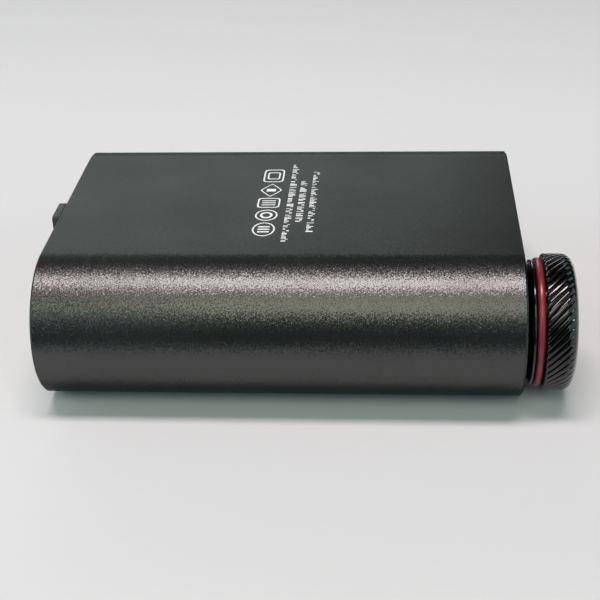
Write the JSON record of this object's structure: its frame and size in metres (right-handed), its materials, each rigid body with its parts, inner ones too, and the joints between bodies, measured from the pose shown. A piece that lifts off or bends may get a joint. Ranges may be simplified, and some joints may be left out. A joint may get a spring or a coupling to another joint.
{
  "type": "desktop dac and headphone amplifier",
  "caption": "Pocket desktop audio converter: round-sided aluminium sleeve, inset end panels, knurled volume knob, sockets, slide switches and a dust plug.",
  "frame": {"origin": "centre of the face the case lies on, its cover face; the case is stored turned over, printed base up", "axes": "+X out of the front panel with the knob, -X out of the rear panel, +Z out of the printed base, +Y away from the knob; turn 180 degrees about X for the attitude in use"},
  "size_m": [0.0855, 0.058, 0.0226],
  "materials": {
    "shell": "fine bead-blasted dark grey anodising",
    "panel": "satin dark grey anodising",
    "knob": "glossy black anodising",
    "accent": "red anodising",
    "steel": "plain",
    "black_steel": "blackened",
    "gold": "gold plated",
    "black_plastic": "moulded",
    "white_plastic": "moulded",
    "orange_plastic": "moulded",
    "rubber": "soft moulded",
    "board": "solder resist",
    "chip": "moulded epoxy",
    "can": "bright drawn"
  },
  "bodies": {
    "case": {"outer_shell": "shell", "front_panel": "panel", "front_screw_1": "black_steel", "front_screw_2": "black_steel", "rear_panel": "panel", "rear_screw_1": "black_steel", "rear_screw_2": "black_steel", "volume_pot_body": "black_plastic", "volume_pot_bushing": "steel", "volume_nut": "steel", "volume_washer": "steel", "headphone_jack_body": "black_plastic", "headphone_jack_collar": "gold", "balanced_jack_body": "black_plastic", "balanced_jack_collar": "gold", "line_out_jack_body": "black_plastic", "line_out_jack_collar": "gold", "gain_switch_body": "black_plastic", "bass_switch_body": "black_plastic", "usb_mode_switch_body": "black_plastic", "usb_socket_shell": "steel", "usb_socket_tongue": "black_plastic", "optical_socket_body": "black_plastic", "optical_emitter": "white_plastic", "coax_socket_body": "black_plastic", "coax_barrel": "gold", "coax_insulator": "orange_plastic", "coax_contact": "gold", "main_board": "board", "usb_controller_chip": "chip", "converter_chip": "chip", "filter_amplifier_chip": "chip", "headphone_amplifier_chip_1": "chip", "headphone_amplifier_chip_2": "chip", "regulator_chip": "chip", "clock_crystal_1": "can", "clock_crystal_2": "can", "power_inductor": "chip", "capacitor_1": "can", "capacitor_2": "can", "capacitor_3": "can", "capacitor_4": "can", "capacitor_5": "can"},
    "volume_control": {"volume_knob": "knob", "knob_collar": "knob", "knob_accent_ring": "accent", "volume_shaft": "steel", "volume_wiper": "gold"},
    "gain_slider": {"gain_switch_slider": "black_plastic"},
    "bass_slider": {"bass_switch_slider": "black_plastic"},
    "usb_mode_slider": {"usb_mode_switch_slider": "black_plastic"},
    "dust_plug": {"optical_dust_plug": "rubber"}
  },
  "joints": [
    {"name": "volume_turn", "type": "hinge", "parent": "case", "child": "volume_control", "pos_m": [0.036, -0.018, 0.0113], "axis": [-1, 0, 0], "range_deg": [0, 300]},
    {"name": "gain_slide", "type": "slide", "parent": "case", "child": "gain_slider", "axis": [0, 1, 0], "range_m": [0, 0.002]},
    {"name": "bass_slide", "type": "slide", "parent": "case", "child": "bass_slider", "axis": [0, 1, 0], "range_m": [0, 0.002]},
    {"name": "usb_mode_slide", "type": "slide", "parent": "case", "child": "usb_mode_slider", "axis": [0, 0, 1], "range_m": [0, 0.002]},
    {"name": "dust_plug_pull", "type": "slide", "parent": "case", "child": "dust_plug", "axis": [-1, 0, 0], "range_m": [0, 0.012]}
  ]
}
